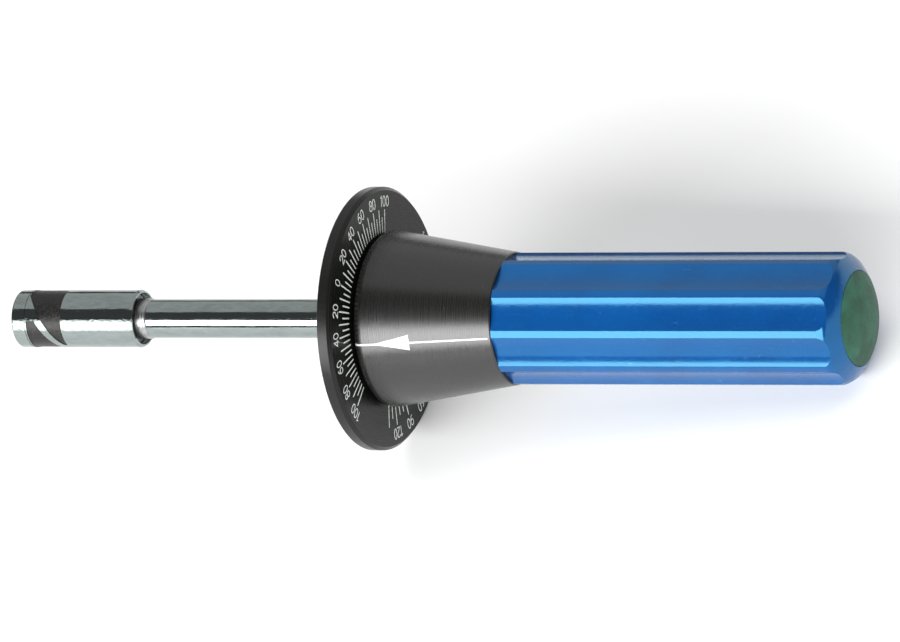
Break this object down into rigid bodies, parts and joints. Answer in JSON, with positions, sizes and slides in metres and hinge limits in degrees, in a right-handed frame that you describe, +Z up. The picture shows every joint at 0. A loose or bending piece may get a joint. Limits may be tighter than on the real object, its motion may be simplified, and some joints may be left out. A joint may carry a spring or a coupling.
{
  "type": "torque screwdriver",
  "caption": "Dial-indicating torque screwdriver: fluted handle, pointer cone, sprung hollow spindle, settable scale disc and quick-change bit chuck with sliding sleeve.",
  "frame": {"origin": "on the floor under the middle of the tool's length, as it lies on the dial's rim and two ribs of the grip", "axes": "+Z up; +X along the tool's length from the bit chuck to the handle, whose end lies lower; +Y to the left, looking from chuck to handle"},
  "size_m": [0.1906, 0.054, 0.0538],
  "materials": {
    "blue_plastic": "glossy moulded deep blue",
    "green_plastic": "matte dark green, finely grained",
    "black_cone": "black anodised aluminium, lathe lines, satin",
    "black_dial": "black anodised aluminium, white filled marks",
    "chrome_shaft": "bright chrome plated steel",
    "chrome_sleeve": "chrome plated steel, slightly worn",
    "dark_inlay": "black plastic",
    "plain_steel": "machined steel",
    "spring_steel": "hardened spring steel",
    "bronze": "bearing bronze",
    "brass_ring": "turned brass"
  },
  "bodies": {
    "handle": {"grip": "blue_plastic", "end_cap": "green_plastic", "anchor_plug": "plain_steel", "anchor_screws": "plain_steel", "pointer_cone": "black_cone", "coupling_ring": "brass_ring", "front_bush": "bronze", "rear_bush": "bronze", "stop_pin": "plain_steel"},
    "spindle_set": {"spindle": "chrome_shaft", "torsion_bar": "spring_steel", "bar_pin": "plain_steel", "dial_hub": "black_cone", "hub_screw": "plain_steel", "disc_spring": "spring_steel", "dial_ring": "spring_steel", "front_thrust_washer": "plain_steel", "rear_thrust_washer": "plain_steel", "spindle_ring": "spring_steel", "stop_plate": "plain_steel", "chuck_body": "plain_steel", "bit_balls": "plain_steel", "snap_ring": "spring_steel", "nose_washer": "plain_steel", "sleeve_spring": "spring_steel"},
    "dial_disc": {"dial": "black_dial"},
    "sleeve": {"chuck_sleeve": "chrome_sleeve", "sleeve_inlays": "dark_inlay"}
  },
  "joints": [
    {"name": "spindle_twist", "type": "hinge", "parent": "handle", "child": "spindle_set", "pos_m": [-0.01151, 0, 0.02665], "axis": [0.9907, 0, -0.1363], "range_deg": [-75, 75], "stiffness_Nm_per_rad": 0.8185},
    {"name": "dial_setting", "type": "hinge", "parent": "spindle_set", "child": "dial_disc", "pos_m": [-0.01151, 0, 0.02665], "axis": [0.9907, 0, -0.1363], "continuous": true},
    {"name": "sleeve_pull", "type": "slide", "parent": "spindle_set", "child": "sleeve", "axis": [0.9907, 0, -0.1363], "range_m": [0, 0.003], "stiffness_N_per_m": 1500, "springref_m": -0.002, "deforming": ["sleeve_spring"]}
  ]
}
